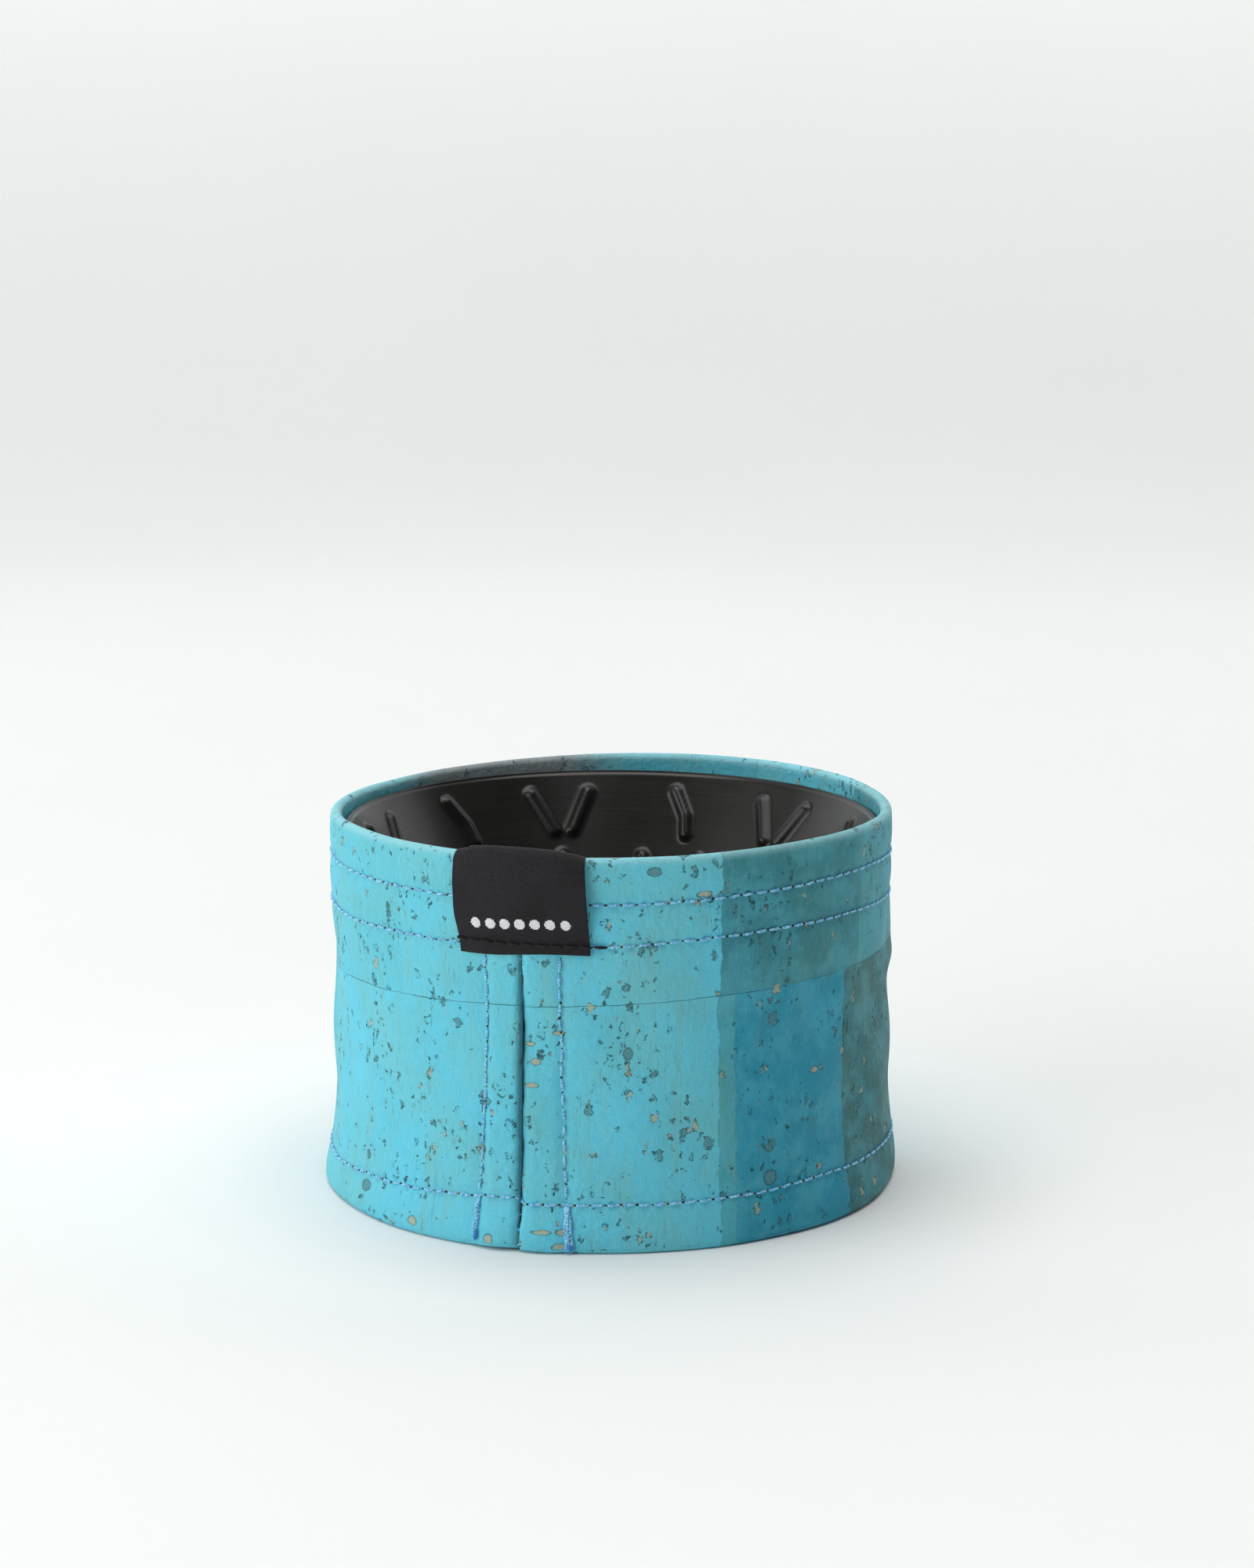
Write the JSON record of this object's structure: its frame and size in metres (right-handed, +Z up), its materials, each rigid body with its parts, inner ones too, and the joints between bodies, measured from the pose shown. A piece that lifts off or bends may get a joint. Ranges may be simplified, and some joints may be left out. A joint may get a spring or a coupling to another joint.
{
  "type": "coffee dripper in a travel sleeve",
  "caption": "Conical pour-over coffee dripper with ribbed walls and a silicone seat, carried in a stitched cork-fabric sleeve with a woven label over its rim.",
  "frame": {"origin": "centre of the sleeve's foot, on the surface it stands on", "axes": "+Z up along the sleeve's and the cone's common axis, -Y towards the closing seam and the label, +X to the right as seen from the label's side"},
  "size_m": [0.116, 0.116, 0.0776],
  "materials": {
    "cork_fabric": "dyed turquoise cork veneer on cloth, satin, with dark pits and tan flecks",
    "felt": "undyed pressed felt, matt",
    "label_satin": "black woven satin with a row of white woven dashes",
    "black_thread": "black polyester sewing thread",
    "blue_thread": "light blue twisted polyester sewing thread, glossy",
    "coated_metal": "fine brushed sheet metal under a black satin coating",
    "silicone": "matt black silicone rubber"
  },
  "bodies": {
    "sleeve": {"cork_shell": "cork_fabric", "interlining": "felt", "woven_label": "label_satin", "label_thread": "black_thread", "label_bobbin_thread": "black_thread", "hem_thread_upper": "blue_thread", "hem_bobbin_thread_upper": "blue_thread", "hem_thread_lower": "blue_thread", "hem_bobbin_thread_lower": "blue_thread", "hem_thread_foot": "blue_thread", "hem_bobbin_thread_foot": "blue_thread", "seam_thread_left": "blue_thread", "seam_bobbin_thread_left": "blue_thread", "seam_thread_right": "blue_thread", "seam_bobbin_thread_right": "blue_thread", "seam_joining_thread": "blue_thread"},
    "dripper": {"dripper_cone": "coated_metal"},
    "base": {"silicone_base": "silicone"}
  },
  "joints": [
    {"name": "dripper_lift", "type": "slide", "parent": "sleeve", "child": "dripper", "axis": [0, 0, 1], "range_m": [0, 0.09]},
    {"name": "base_pull", "type": "slide", "parent": "dripper", "child": "base", "axis": [0, 0, -1], "range_m": [0, 0.035]}
  ]
}
